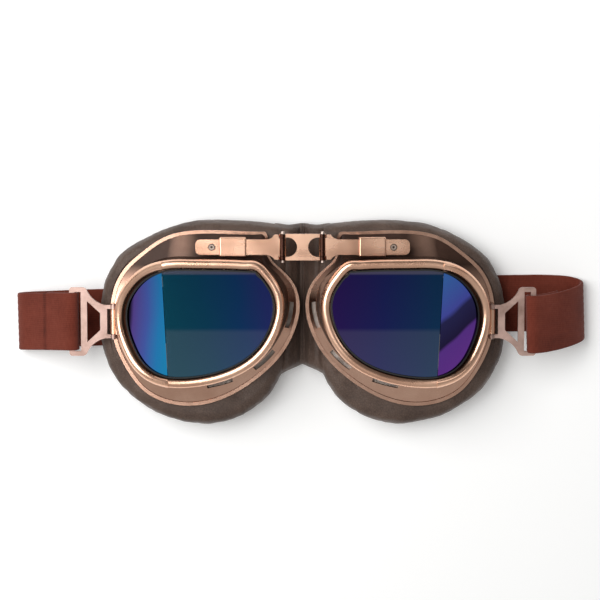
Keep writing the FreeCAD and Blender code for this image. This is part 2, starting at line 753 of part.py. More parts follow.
def band_outline(route, thickness):
    """The closed outline of a band that follows straight runs and arcs (centre, radius, from, to)."""
    half = thickness / 2
    left = []
    right = []
    for piece in route:
        for store, side in ((left, half), (right, -half)):
            if len(piece) == 2:
                start, end = (Vector(*point, 0) for point in piece)
                along = (end - start).normalize()
                shift = Vector(-along.y, along.x, 0) * side
                store.append((start + shift, None, end + shift))
            else:
                centre, radius, begin, finish = piece
                reach = radius - side if finish > begin else radius + side
                points = []
                for angle in (begin, (begin + finish) / 2, finish):
                    turn = math.radians(angle)
                    points.append(Vector(centre[0] + reach * math.cos(turn),
                                         centre[1] + reach * math.sin(turn), 0))
                store.append(tuple(points))
    edges = []
    for start, middle, end in left + [(end, middle, start) for start, middle, end in reversed(right)]:
        if middle is None:
            edges.append(Part.LineSegment(start, end))
        else:
            edges.append(Part.Arc(start, middle, end))
    edges.append(Part.LineSegment(left[-1][2], right[-1][2]))
    edges.append(Part.LineSegment(right[0][0], left[0][0]))
    return edges


def strap_end():
    """Strap from the floor, up round its fold, over the buckle's outer bar and back under itself."""
    thick = size("strap_thick")
    bar = (size("buckle_x") + size("outer_bar"), size("buckle_z"))
    bar_radius = 1.85 + thick / 2
    fold_radius = size("strap_fold_r")
    fold = (size("strap_fold_x") - fold_radius - thick / 2, fold_radius + thick / 2)
    reach = math.hypot(fold[0] - bar[0], fold[1] - bar[1])
    heading = math.degrees(math.atan2(fold[1] - bar[1], fold[0] - bar[0]))
    front = heading + math.degrees(math.asin((fold_radius - bar_radius) / reach))
    normal = front + 90.0

    def round_point(centre, radius, angle):
        turn = math.radians(angle)
        return (centre[0] + radius * math.cos(turn), centre[1] + radius * math.sin(turn))

    leave_bar = round_point(bar, bar_radius, normal)
    meet_fold = round_point(fold, fold_radius, normal)
    stitched = 14.0
    under = round_point(leave_bar, stitched, front)
    under = round_point(under, thick + 0.12, normal + 180.0)
    away = math.hypot(under[0] - bar[0], under[1] - bar[1])
    view = math.degrees(math.atan2(under[1] - bar[1], under[0] - bar[0]))
    touch = view - math.degrees(math.acos(bar_radius / away))
    route = [
        (under, round_point(bar, bar_radius, touch)),
        (bar, bar_radius, touch + 360.0, normal),
        (leave_bar, meet_fold),
        (fold, fold_radius, normal, -90.0),
        ((fold[0], thick / 2), (size("strap_split_x") + 1.0, thick / 2)),
    ]
    body = new_body("strap_end_right")
    drawing = sketch(body, "XZ_Plane", band_outline(route, thick), lift="-sizes.buckle_y")
    pad(body, drawing, "sizes.strap_wide", both_ways=True)


def strap_band():
    """Flat run of the strap behind the pads."""
    box = doc.addObject("Part::Box", "strap_band")
    box.setExpression("Length", "2 * sizes.strap_split_x")
    box.setExpression("Width", "sizes.strap_wide")
    box.setExpression("Height", "sizes.strap_thick")
    turn = Rotation(Vector(0, 0, 1), size("strap_turn"))
    corner = turn.multVec(Vector(-size("strap_split_x"), -size("strap_wide") / 2, 0))
    box.Placement = Placement(corner + Vector(0, size("strap_mid_y"), 0), turn)
    keep(box, "strap_band")


# ---------------------------------------------------------------- the whole

def mirror(source, label):
    """The left-hand twin of a right-hand piece."""
    twin = doc.addObject("Part::Mirroring", label + "_twin")
    twin.Source = source
    twin.Base = Vector(0, 0, 0)
    twin.Normal = Vector(1, 0, 0)
    keep(twin, label)


def build():
    seat = size("seat_z")
    centre_link()
    slide_plate()
    stop_rivet()
    slide_sleeve()
    sleeve_rivets()
    pin("hinge_pin_right", "pin_dia", "sizes.pin_long", "hinge_x", "bridge_y", "bridge_z")
    free_form("eyecup_shell_right", eyecup_shell())
    free_form("lens_bezel_right", lens_bezel())
    lens_low = seat + 0.05
    lens_top = lens_low + size("lens_thick")
    bent_body("front_pane_right", lens_low, lens_top, size("lens_inset"), end=-CREASE_GAP)
    bent_body("side_pane_right", lens_low, lens_top, size("lens_inset"), start=CREASE_GAP)
    bent_body("lens_gasket_right", lens_low, seat + size("gasket_high"),
              size("gasket_outer"), size("gasket_inner"))
    free_form("vent_screen_right", vent_screen())
    pad_cover()
    pad_ring("pad_foam_right", 5.9, "sizes.groove_depth + sizes.lining + 0.05",
             "sizes.pad_height - sizes.leather - sizes.groove_depth - sizes.lining - 0.1")
    pad_lining()
    strap_bracket()
    pin("buckle_pin_right", "buckle_pin_dia", "16.6", "buckle_x", "buckle_y", "buckle_z")
    strap_buckle()
    strap_end()
    for piece in [p for p in subparts if p.Label.endswith("_right")]:
        mirror(piece, piece.Label.replace("_right", "_left"))
    nose_leather()
    strap_band()


def write():
    doc.recompute()
    for feature in doc.Objects:
        if "Invalid" in feature.State or "Error" in feature.State:
            raise RuntimeError(f"{feature.Label} did not rebuild: {feature.State}")
    os.makedirs("parts", exist_ok=True)
    for feature in subparts:
        shape = feature.Shape
        if shape.isNull() or not shape.isValid():
            raise RuntimeError(f"{feature.Label} has no valid shape")
        shape.exportStep(f"parts/{feature.Label}.step")
        print(f"{feature.Label:24s} {len(shape.Solids)} solid(s) {shape.Volume:10.1f} mm3")


build()
write()
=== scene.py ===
"""Looks for the motorcycle goggles: materials, leather pads, nose leather, webbing strap, light and camera.

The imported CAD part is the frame. Outlines and heights below are millimetres in its own frame;
meshes are made in metres.
"""

import math

import bmesh
import bpy
import numpy as np
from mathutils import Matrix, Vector, noise


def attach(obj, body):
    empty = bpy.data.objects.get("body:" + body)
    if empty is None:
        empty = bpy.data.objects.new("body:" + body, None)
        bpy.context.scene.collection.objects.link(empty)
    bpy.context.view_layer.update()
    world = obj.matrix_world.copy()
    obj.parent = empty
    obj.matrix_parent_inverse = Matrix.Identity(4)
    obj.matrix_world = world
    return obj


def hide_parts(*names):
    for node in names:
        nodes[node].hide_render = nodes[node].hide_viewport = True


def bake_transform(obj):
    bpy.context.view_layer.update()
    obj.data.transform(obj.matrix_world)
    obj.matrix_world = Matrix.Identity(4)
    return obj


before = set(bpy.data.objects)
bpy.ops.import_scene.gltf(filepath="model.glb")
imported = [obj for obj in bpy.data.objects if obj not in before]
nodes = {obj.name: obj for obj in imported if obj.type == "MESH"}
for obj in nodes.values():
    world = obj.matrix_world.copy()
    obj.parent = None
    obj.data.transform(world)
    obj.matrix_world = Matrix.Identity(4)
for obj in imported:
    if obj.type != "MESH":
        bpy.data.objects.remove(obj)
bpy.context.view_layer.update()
MM = 0.001
FULL_TURN = 2 * math.pi
SIDES = (("left", -1.0), ("right", 1.0))

# The bridge's hinge pins and rivets.
HINGE_X = 9.2
BRIDGE_Y = 37.0
RIVET_X = 42.0
RIVET_RADIUS = 1.7

# The strap. It lies on the floor, slightly turned.
STRAP_WIDE = 27.0
STRAP_THICK = 1.5
STRAP_TURN = math.radians(2.0)
STRAP_MID_Y = 4.7
STRAP_SEAM_X = -120.6
# Its middle line on the floor is a little above half its thickness.
STRAP_FLOOR_Z = 0.87
# The back run stops short of the ends so that the cups can slide inwards without the two meeting.
STRAP_BACK_END = 86.6


# ---------------------------------------------------------------- material helpers

class Graph:
    """A material's node tree, with short calls for the nodes used here."""

    def __init__(self, name):
        self.material = bpy.data.materials.new(name)
        self.material.use_nodes = True
        self.tree = self.material.node_tree
        self.tree.nodes.clear()
        output = self.tree.nodes.new("ShaderNodeOutputMaterial")
        self.shader = self.tree.nodes.new("ShaderNodeBsdfPrincipled")
        self.tree.links.new(self.shader.outputs["BSDF"], output.inputs["Surface"])
        coords = self.tree.nodes.new("ShaderNodeTexCoord")
        self.coords = coords.outputs["Object"]
        self.normal = coords.outputs["Normal"]

    def link(self, source, target):
        self.tree.links.new(source, target)

    def set(self, **values):
        for name, value in values.items():
            self.shader.inputs[name.replace("_", " ")].default_value = value

    def mapped(self, scale):
        node = self.tree.nodes.new("ShaderNodeMapping")
        node.inputs["Scale"].default_value = scale
        self.link(self.coords, node.inputs["Vector"])
        return node.outputs["Vector"]

    def noise(self, scale, detail=4.0, roughness=0.55, vector=None):
        node = self.tree.nodes.new("ShaderNodeTexNoise")
        node.inputs["Scale"].default_value = scale
        node.inputs["Detail"].default_value = detail
        node.inputs["Roughness"].default_value = roughness
        self.link(vector or self.coords, node.inputs["Vector"])
        return node.outputs["Fac"]

    def cells(self, scale):
        """Distance to the nearest edge of a net of irregular cells."""
        node = self.tree.nodes.new("ShaderNodeTexVoronoi")
        node.feature = "DISTANCE_TO_EDGE"
        node.inputs["Scale"].default_value = scale
        self.link(self.coords, node.inputs["Vector"])
        return node.outputs["Distance"]

    def wave(self, scale, direction, distortion):
        node = self.tree.nodes.new("ShaderNodeTexWave")
        node.bands_direction = direction
        node.inputs["Scale"].default_value = scale
        node.inputs["Distortion"].default_value = distortion
        self.link(self.coords, node.inputs["Vector"])
        return node.outputs["Fac"]

    def ramp(self, factor, stops):
        node = self.tree.nodes.new("ShaderNodeValToRGB")
        elements = node.color_ramp.elements
        while len(elements) < len(stops):
            elements.new(0.5)
        for element, (place, color) in zip(elements, stops):
            element.position = place
            element.color = (*color, 1.0)
        self.link(factor, node.inputs["Fac"])
        return node.outputs["Color"]

    def remap(self, value, low, high, out_low, out_high):
        node = self.tree.nodes.new("ShaderNodeMapRange")
        ends = {"From Min": low, "From Max": high, "To Min": out_low, "To Max": out_high}
        for key, number in ends.items():
            node.inputs[key].default_value = number
        self.link(value, node.inputs["Value"])
        return node.outputs["Result"]

    def math(self, operation, first, second=0.0):
        """One math node. Operations on a single value leave second alone."""
        node = self.tree.nodes.new("ShaderNodeMath")
        node.operation = operation
        for index, value in enumerate((first, second)):
            if isinstance(value, (int, float)):
                node.inputs[index].default_value = value
            else:
                self.link(value, node.inputs[index])
        return node.outputs["Value"]

    def mix(self, factor, first, second):
        node = self.tree.nodes.new("ShaderNodeMix")
        node.data_type = "RGBA"
        for key, value in (("Factor", factor), ("A", first), ("B", second)):
            sockets = [s for s in node.inputs if s.name == key and s.enabled]
            if isinstance(value, tuple):
                sockets[0].default_value = (*value, 1.0)
            else:
                self.link(value, sockets[0])
        return [s for s in node.outputs if s.enabled][0]

    def tint(self, color, share, stain):
        """The color multiplied by the stain, as far as the share says."""
        node = self.tree.nodes.new("ShaderNodeMix")
        node.data_type = "RGBA"
        node.blend_type = "MULTIPLY"
        factor, first, second = [s for s in node.inputs if s.enabled]
        factor.default_value = share
        self.link(color, first)
        self.link(stain, second)
        return [s for s in node.outputs if s.enabled][0]

    def distance(self, name, middle):
        """How far a point is from a middle value, in millimetres, along one axis."""
        return self.math("ABSOLUTE", self.math("SUBTRACT", self.axis(name), middle * MM))

    def axis(self, name):
        node = self.tree.nodes.new("ShaderNodeSeparateXYZ")
        self.link(self.coords, node.inputs["Vector"])
        return node.outputs[name]

    def bump(self, height, strength, distance):
        node = self.tree.nodes.new("ShaderNodeBump")
        node.inputs["Strength"].default_value = strength
        node.inputs["Distance"].default_value = distance
        self.link(height, node.inputs["Height"])
        self.link(node.outputs["Normal"], self.shader.inputs["Normal"])


# Painted shade of the hinge gap, used beside the hinge pins.
PAINTED_GAP_SHADE = (0.045, 0.020, 0.014)


def plated_metal(name, light, dark, roughness, grain, brushed=(1.0, 1.0, 1.0), painted_hinge_shade=False):
    """Plating with a little tarnish and hairlines. A piece given painted hinge shade is painted dark brown
    beside the hinge pins, as the shade of the hinge gap.
    """
    g = Graph(name)
    tarnish = g.noise(55.0, 2.5, 0.5)
    tone = g.ramp(tarnish, [(0.3, dark), (0.62, light)])
    # Painted shade: dark brown beside the hinge pins, where the hinge gap lies in shade.
    if painted_hinge_shade:
        off_pin = g.math("ABSOLUTE", g.math("SUBTRACT", g.math("ABSOLUTE", g.axis("X")), HINGE_X * MM))
        near_pin = g.remap(off_pin, 1.0 * MM, 1.35 * MM, 1.0, 0.0)
        tone = g.mix(near_pin, tone, PAINTED_GAP_SHADE)
    g.link(tone, g.shader.inputs["Base Color"])
    hairline = g.noise(420.0, 2.0, 0.5, g.mapped(brushed))
    both = g.math("ADD", g.math("MULTIPLY", hairline, 0.2), g.math("MULTIPLY", tarnish, 0.8))
    g.link(g.remap(both, 0.3, 0.7, roughness - 0.07, roughness + 0.09), g.shader.inputs["Roughness"])
    g.set(Metallic=1.0)
    g.bump(hairline, 0.12, grain)
    return g.material


def hinge_barrel():
    """Hinge pin painted dark brown as the shade of the hinge gap, with bright worn ends."""
    g = Graph("hinge_metal")
    worn = g.ramp(g.noise(200.0), [(0.3, (0.62, 0.50, 0.43)), (0.7, (0.80, 0.66, 0.58))])
    # Painted shade: the barrel in the hinge gap is painted dark brown.
    painted_dark_brown = g.ramp(g.noise(90.0, 4.0, 0.6), [(0.3, (0.015, 0.007, 0.005)), (0.7, (0.040, 0.018, 0.012))])
    pin_end = g.remap(g.distance("Y", BRIDGE_Y), 5.4 * MM, 5.9 * MM, 0.0, 1.0)
    g.link(g.mix(pin_end, painted_dark_brown, worn), g.shader.inputs["Base Color"])
    g.set(Metallic=1.0, Roughness=0.42)
    g.bump(g.noise(500.0), 0.2, 0.00001)
    return g.material


def rivet_head():
    """Domed rivet with painted shade in its dimple and at its edge and a painted highlight ring between, the
    same on both sides of the bridge.
    """
    g = Graph("rivet_metal")
    x = g.math("SUBTRACT", g.math("ABSOLUTE", g.axis("X")), RIVET_X * MM)
    y = g.math("SUBTRACT", g.axis("Y"), BRIDGE_Y * MM)
    away = g.math("SQRT", g.math("ADD", g.math("MULTIPLY", x, x), g.math("MULTIPLY", y, y)))
    # Painted shade in the dimple and at the edge, with a painted highlight ring on the dome.
    painted_shading_rings = [
        (0.0, (0.03, 0.02, 0.018)), (0.28, (0.05, 0.035, 0.03)), (0.4, (0.50, 0.40, 0.34)),
        (0.66, (0.40, 0.31, 0.26)), (0.82, (0.06, 0.04, 0.03)),
    ]
    g.link(g.ramp(g.remap(away, 0.0, RIVET_RADIUS * MM, 0.0, 1.0), painted_shading_rings), g.shader.inputs["Base Color"])
    g.link(g.remap(g.noise(300.0), 0.3, 0.7, 0.25, 0.4), g.shader.inputs["Roughness"])
    g.set(Metallic=1.0)
    return g.material


def shell_plating():
    """Polished plate, with painted shade on the wall under the bezel and a painted dark reflection along the
    brow, both dark brown and less metallic.
    """
    g = Graph("shell_metal")
    tarnish = g.noise(55.0, 5.0, 0.6)
    bright = g.ramp(tarnish, [(0.3, (0.66, 0.38, 0.27)), (0.65, (0.80, 0.50, 0.37))])
    painted_dark_brown = g.ramp(tarnish, [(0.3, (0.032, 0.017, 0.012)), (0.65, (0.070, 0.037, 0.027))])
    height = g.axis("Z")
    # Painted shade: the wall from above the rim bead up to the bezel is painted dark brown.
    high_up = g.remap(height, 20.6 * MM, 21.8 * MM, 0.0, 1.0)
    facing = g.tree.nodes.new("ShaderNodeSeparateXYZ")
    g.link(g.normal, facing.inputs["Vector"])
    sloping = g.remap(facing.outputs["Z"], 0.985, 0.955, 0.0, 1.0)
    # Painted dark reflection: sloping faces towards the brow are painted dark brown too.
    brow_dark_reflection = g.math("MULTIPLY", sloping, g.remap(g.axis("Y"), 12.0 * MM, 28.0 * MM, 0.0, 1.0))
    below_bezel = g.remap(height, 38.6 * MM, 39.4 * MM, 1.0, 0.0)
    painted_dark = g.math("MULTIPLY", g.math("MAXIMUM", high_up, brow_dark_reflection), below_bezel)
    g.link(g.mix(painted_dark, bright, painted_dark_brown), g.shader.inputs["Base Color"])
    polish = g.remap(g.noise(300.0, 4.0, 0.6), 0.3, 0.7, 0.18, 0.26)
    g.link(g.math("ADD", polish, g.math("MULTIPLY", painted_dark, 0.14)), g.shader.inputs["Roughness"])
    g.link(g.remap(painted_dark, 0.0, 1.0, 1.0, 0.15), g.shader.inputs["Metallic"])
    g.set(Specular_IOR_Level=0.12)
    g.bump(tarnish, 0.3, 0.00004)
    return g.material


def cast_metal():
    """Satin cast plate with a fine pebbled skin."""
    g = Graph("cast_copper")
    patch = g.noise(90.0, 5.0, 0.6)
    tone = g.ramp(patch, [(0.3, (0.36, 0.23, 0.19)), (0.65, (0.62, 0.43, 0.37))])
    g.link(tone, g.shader.inputs["Base Color"])
    pebble = g.noise(1500.0, 3.0, 0.6)
    g.link(g.remap(patch, 0.3, 0.7, 0.36, 0.5), g.shader.inputs["Roughness"])
    g.set(Metallic=0.9)
    g.bump(pebble, 0.5, 0.00008)
    return g.material


def leather(name, base, worn):
    """Soft grained leather with a greyish sheen where it is rubbed."""
    g = Graph(name)
    cells = g.cells(900.0)
    patch = g.noise(60.0, 6.0, 0.6)
    fine = g.noise(700.0, 4.0, 0.6)
    color = g.ramp(patch, [(0.3, base), (0.72, worn)])
    pores = g.ramp(cells, [(0.0, (0.55, 0.52, 0.5)), (0.12, (1.0, 1.0, 1.0))])
    g.link(g.tint(color, 0.8, pores), g.shader.inputs["Base Color"])
    g.link(g.remap(patch, 0.3, 0.7, 0.62, 0.46), g.shader.inputs["Roughness"])
    g.set(Sheen_Weight=0.08, Sheen_Roughness=0.45, Specular_IOR_Level=0.35)
    grain = g.math("ADD", g.math("MULTIPLY", cells, 1.6), g.math("MULTIPLY", fine, 0.5))
    g.bump(grain, 0.55, 0.00022)
    return g.material


def webbing():
    """Red-brown ribbed elastic: fine cross ribs, faint lengthwise cords and one dark seam."""
    g = Graph("strap_webbing")
    ribs = g.wave(620.0, "X", 1.2)
    threads = g.noise(1.0, 2.0, 0.5, g.mapped((1500.0, 420.0, 1500.0)))
    cords = g.wave(330.0, "Y", 0.6)
    patch = g.noise(45.0, 4.0, 0.6)
    weave = g.math("ADD", g.math("MULTIPLY", ribs, 0.35),
                   g.math("ADD", g.math("MULTIPLY", threads, 0.5), g.math("MULTIPLY", cords, 0.15)))
    seam = g.remap(g.distance("X", STRAP_SEAM_X), 0.3 * MM, 1.3 * MM, 0.16, 0.0)
    shade = g.math("ADD", g.math("MULTIPLY", weave, 0.45), g.math("MULTIPLY", patch, 0.55))
    shade = g.math("SUBTRACT", shade, seam)
    tones = [
        (0.22, (0.045, 0.009, 0.006)), (0.34, (0.095, 0.017, 0.009)), (0.5, (0.14, 0.027, 0.015)),
        (0.7, (0.19, 0.042, 0.025)),
    ]
    g.link(g.ramp(shade, tones), g.shader.inputs["Base Color"])
    g.set(Roughness=0.88, Sheen_Weight=0.12, Sheen_Roughness=0.5, Specular_IOR_Level=0.15)
    g.bump(weave, 0.6, 0.00016)
    return g.material


# Colour of the painted glint below the upper bezel.
PAINTED_GLINT_LILAC = (0.34, 0.30, 0.42)


def mirror_lens(name, stops, low, high, lean=0.0, along="X", reflection_lift=0.0):
    """Mirror-coated pane: its colour drifts over the pane, partly the coating's own tint and partly painted
    reflection, under a clear gloss.

    The stops run from low to high, in millimetres along one axis, and lean tilts them.
    A pane with a reflection lift is paler below the middle as a painted reflection, and has a painted glint:
    a pale strip below the upper bezel.
    """
    g = Graph(name)
    place = g.axis(along)
    across = g.axis("X" if along == "Y" else "Y")
    place = g.math("ADD", place, g.math("MULTIPLY", across, lean))
    wander = g.noise(24.0, 2.0, 0.5)
    drift = g.math("ADD", g.remap(place, low * MM, high * MM, 0.0, 1.0),
                   g.remap(wander, 0.3, 0.7, -0.06, 0.06))
    coating = g.ramp(drift, stops)
    # Painted reflection below the middle, and a painted glint strip under the upper bezel.
    if reflection_lift:
        painted_reflection_stops = [(spot, tuple(channel + reflection_lift for channel in color)) for spot, color in stops]
        lower_half = g.remap(g.axis("Y"), -1.0 * MM, 1.0 * MM, 1.0, 0.0)
        coating = g.mix(lower_half, coating, g.ramp(drift, painted_reflection_stops))
        painted_glint = g.math("MULTIPLY", g.remap(g.axis("Y"), 25.3 * MM, 26.0 * MM, 0.0, 1.0), 0.5)
        coating = g.mix(painted_glint, coating, PAINTED_GLINT_LILAC)
    g.link(coating, g.shader.inputs["Base Color"])
    g.set(Metallic=1.0, Roughness=0.06, Coat_Weight=0.2, Coat_Roughness=0.02)
    g.bump(g.noise(30.0, 1.0, 0.4), 0.05, 0.0003)
    return g.material


def plain(name, low, high, roughness, grain_scale, grain_depth, **sockets):
    """A matt material with mottling and fine grain."""
    g = Graph(name)
    patch = g.noise(120.0, 4.0, 0.6)
    g.link(g.ramp(patch, [(0.3, low), (0.7, high)]), g.shader.inputs["Base Color"])
    g.link(g.remap(patch, 0.3, 0.7, roughness - 0.06, roughness + 0.06), g.shader.inputs["Roughness"])
    g.set(**sockets)
    g.bump(g.noise(grain_scale, 4.0, 0.6), 0.5, grain_depth)
    return g.material


COPPER_LIGHT = (0.93, 0.58, 0.41)
COPPER_DARK = (0.82, 0.46, 0.31)
metal = plated_metal("copper_metal", COPPER_LIGHT, COPPER_DARK, 0.27, 0.000008)
BRUSHED_ALONG_X = (0.04, 1.0, 1.0)
brushed_metal = plated_metal("copper_brushed", COPPER_LIGHT, COPPER_DARK, 0.25, 0.00001,
                             BRUSHED_ALONG_X, painted_hinge_shade=True)
shell_metal = shell_plating()
buckle_metal = cast_metal()
hinge_metal = hinge_barrel()
rivet_metal = rivet_head()
pin_metal = plated_metal("pin_steel", (0.50, 0.38, 0.33), (0.30, 0.21, 0.18), 0.28, 0.00003)
pad_leather = leather("leather", (0.062, 0.037, 0.027), (0.135, 0.089, 0.068))
strap_cloth = webbing()
rubber = plain("gasket_rubber", (0.0015, 0.0015, 0.002), (0.004, 0.0035, 0.004), 0.6, 900.0, 0.00005)
lining_cloth = plain("lining", (0.045, 0.033, 0.028), (0.09, 0.068, 0.06), 0.9, 2200.0, 0.00015,
                     Sheen_Weight=0.3)
foam_cloth = plain("foam", (0.05, 0.045, 0.04), (0.10, 0.09, 0.08), 0.95, 1200.0, 0.0004)
screen_metal = plain("screen_wire", (0.16, 0.12, 0.10), (0.45, 0.40, 0.36), 0.4, 1500.0, 0.0003,
                     Metallic=0.8)

# Painted shade at the left side pane's outer edge, beside the bezel's inner wall.
PAINTED_SHADE_BLACK = (0.002, 0.001, 0.004)
# The coating stops are partly the coating's own tint and partly painted reflection.
lens_materials = {
    "front_pane_left": mirror_lens("lens_front_left", [
        (0.0, (0.004, 0.120, 0.20)), (0.35, (0.004, 0.105, 0.22)), (0.7, (0.008, 0.080, 0.27)),
        (1.0, (0.035, 0.055, 0.30))], low=-60, high=-14, lean=0.25, reflection_lift=0.06),
    "front_pane_right": mirror_lens("lens_front_right", [
        (0.0, (0.050, 0.016, 0.20)), (0.5, (0.022, 0.032, 0.22)), (1.0, (0.008, 0.070, 0.20))],
        low=14, high=60, reflection_lift=0.06),
    "side_pane_left": mirror_lens("lens_side_left", [
        (0.0, PAINTED_SHADE_BLACK), (0.10, (0.020, 0.010, 0.05)), (0.18, (0.17, 0.10, 0.50)), (0.5, (0.11, 0.19, 0.74)),
        (0.8, (0.03, 0.38, 0.90)), (1.0, (0.02, 0.44, 0.90))], low=-82, high=-62, lean=-0.04),
    # The dark band across the right side pane, from 0.38 to 0.60, is a painted reflection.
    "side_pane_right": mirror_lens("lens_side_right", [
        (0.0, (0.05, 0.02, 0.14)), (0.12, (0.20, 0.05, 0.44)), (0.34, (0.17, 0.05, 0.42)),
        (0.38, (0.020, 0.012, 0.07)), (0.60, (0.03, 0.028, 0.13)), (0.66, (0.10, 0.12, 0.62)),
        (1.0, (0.07, 0.24, 0.75))], low=-92, high=-42, lean=-1.0, along="Y"),
}
LOOKS = {
    "centre_link": brushed_metal, "slide_plate": brushed_metal, "slide_sleeve": brushed_metal,
    "hinge_pin": hinge_metal, "stop_rivet": rivet_metal, "sleeve_rivets": pin_metal, "buckle_pin": pin_metal,
    "eyecup_shell": shell_metal, "lens_bezel": metal, "lens_gasket": rubber, "vent_screen": screen_metal,
    "strap_bracket": metal, "strap_buckle": buckle_metal, "pad_foam": foam_cloth, "pad_lining": lining_cloth,
    "pad_cover": pad_leather, "strap_end": strap_cloth, "strap_band": strap_cloth,
    "nose_bridge_leather": pad_leather,
}


def finish_cad_nodes():
    """Every CAD node gets its material."""
    for name, node in nodes.items():
        base = name.removesuffix("_left").removesuffix("_right")
        material = lens_materials.get(name) or LOOKS[base]
        node.data.materials.clear()
        node.data.materials.append(material)


finish_cad_nodes()


# ---------------------------------------------------------------- mesh helpers

CURVE_STEPS = 16


def between(a, b, c, d):
    """Points from b to c on the smooth curve through a, b, c and d, without c itself."""
    return [0.5 * (2 * b + (c - a) * step + (2 * a - 5 * b + 4 * c - d) * step ** 2
                   + (3 * b - a - 3 * c + d) * step ** 3)
            for step in np.linspace(0.0, 1.0, CURVE_STEPS, endpoint=False)]


def path_lengths(dense):
    return np.concatenate([[0.0], np.cumsum(np.linalg.norm(np.diff(dense, axis=0), axis=1))])


def at_lengths(dense, lengths, places):
    return np.stack([np.interp(places, lengths, dense[:, k]) for k in range(dense.shape[1])], axis=1)


def closed_curve(points, count):
    """Evenly spaced points on a closed smooth curve through the given ones."""
    knots = np.array(points, float)
    total = len(knots)
    dense = []
    for index in range(total):
        dense += between(*(knots[(index + k) % total] for k in (-1, 0, 1, 2)))
    dense = np.array(dense + [dense[0]])
    lengths = path_lengths(dense)
    return at_lengths(dense, lengths, np.arange(count) / count * lengths[-1])


def open_curve(points, spacing):
    """Points about one spacing apart on a smooth curve through the given ones."""
    knots = np.array(points, float)
    padded = np.vstack([2 * knots[0] - knots[1], knots, 2 * knots[-1] - knots[-2]])
    dense = []
    for index in range(1, len(padded) - 2):
        dense += between(*padded[index - 1:index + 3])
    dense = np.array(dense + [knots[-1]])
    lengths = path_lengths(dense)
    count = max(3, int(lengths[-1] / spacing) + 1)
    return at_lengths(dense, lengths, np.linspace(0.0, lengths[-1], count))


def smooth_share(value):
    """The value held to 0 to 1, with a soft start and end."""
    share = min(1.0, max(0.0, value))
    return share * share * (3 - 2 * share)


def make_object(name, verts, faces, materials, face_slots=None):
    """A smooth-shaded object from points in millimetres, with its faces turned outwards."""
    mesh = bpy.data.meshes.new(name)
    mesh.from_pydata([tuple(v * MM for v in vert) for vert in verts], [], faces)
    for material in materials:
        mesh.materials.append(material)
    if face_slots:
        for polygon, slot in zip(mesh.polygons, face_slots):
            polygon.material_index = slot
    for polygon in mesh.polygons:
        polygon.use_smooth = True
    obj = bpy.data.objects.new(name, mesh)
    bpy.context.scene.collection.objects.link(obj)
    tidy = bmesh.new()
    tidy.from_mesh(mesh)
    bmesh.ops.recalc_face_normals(tidy, faces=tidy.faces)
    tidy.to_mesh(mesh)
    tidy.free()
    return obj


def apply_modifiers(obj):
    depsgraph = bpy.context.evaluated_depsgraph_get()
    mesh = bpy.data.meshes.new_from_object(obj.evaluated_get(depsgraph))
    obj.modifiers.clear()
    obj.data = mesh


def ring_faces(painted_shading_rings, around, closed_rings=True):
    """Quads between successive rings of points."""
    faces = []
    for i in range(painted_shading_rings if closed_rings else painted_shading_rings - 1):
        for j in range(around):
            a = i * around + j
            b = i * around + (j + 1) % around
            c = (i + 1) % painted_shading_rings * around + (j + 1) % around
            d = (i + 1) % painted_shading_rings * around + j
            faces.append((a, b, c, d))
    return faces


# ---------------------------------------------------------------- face pads

PAD = [
    (12.0, 46.2), (24.0, 47.4), (36.0, 48.0), (49.0, 47.6), (61.0, 45.2), (74.0, 39.4), (85.0, 32.0),
    (92.0, 20.6), (94.6, 8.0), (95.0, -5.0), (92.6, -17.0), (85.5, -30.0), (72.4, -40.6),
    (58.6, -46.2), (44.0, -47.9), (31.0, -45.0), (18.6, -37.2), (11.2, -27.0), (7.4, -16.0),
    (6.5, 2.0), (6.5, 22.0), (6.8, 38.0), (8.2, 43.4),
]
EYE = [
    (26.0, 28.0), (40.0, 29.6), (56.0, 29.2), (69.0, 26.4), (78.0, 19.4), (82.0, 8.0), (81.6, -4.0),
    (76.0, -15.2), (66.0, -22.0), (52.0, -23.6), (38.0, -21.0), (26.0, -14.4), (18.6, -4.0),
    (16.6, 8.0), (19.0, 20.0),
]
PAD_CENTRE = (48.0, 3.0)
PAD_STEPS = 260
OUTLINE_POINTS = 1200
# The pad's section, from the back's inner edge round the eye side, the top and the outer roll.
# Each point is (share of the way from the eye opening to the outer edge, shift outwards in mm, height).
PAD_SECTION = [
    (0.0, 1.6, 0.15), (0.0, 0.3, 2.2), (0.0, 0.0, 8.0), (0.0, 0.3, 14.0), (0.0, 1.8, 16.5),
    (0.35, 0.0, 17.0), (0.65, 0.0, 17.0), (1.0, -4.4, 16.9), (1.0, -1.5, 15.2), (1.0, -0.1, 11.2),
    (1.0, 0.0, 7.4), (1.0, -0.5, 3.4), (1.0, -2.2, 0.6), (1.0, -4.2, 0.1),
]
SECTION_STEPS = 44
PAD_BACK_Z = 0.1
# The leather puckers where it is drawn in, at its foot and at its shoulder.
PUCKERS = 46
FOOT_Z = 2.2
SHOULDER_Z = 16.0
LINING_TOP_Z = 0.7
# Where the strap lies under the pad, and how far and how softly the pad's back rises over it.
GROOVE_HALF = 16.0
GROOVE_DEEP = 1.75
GROOVE_EASE = 1.6


def bearings(points, centre):
    """Each point's direction from the centre, from 0 to a full turn."""
    angles = np.unwrap(np.arctan2(points[:, 1] - centre[1], points[:, 0] - centre[0]))
    return np.mod(angles, FULL_TURN)


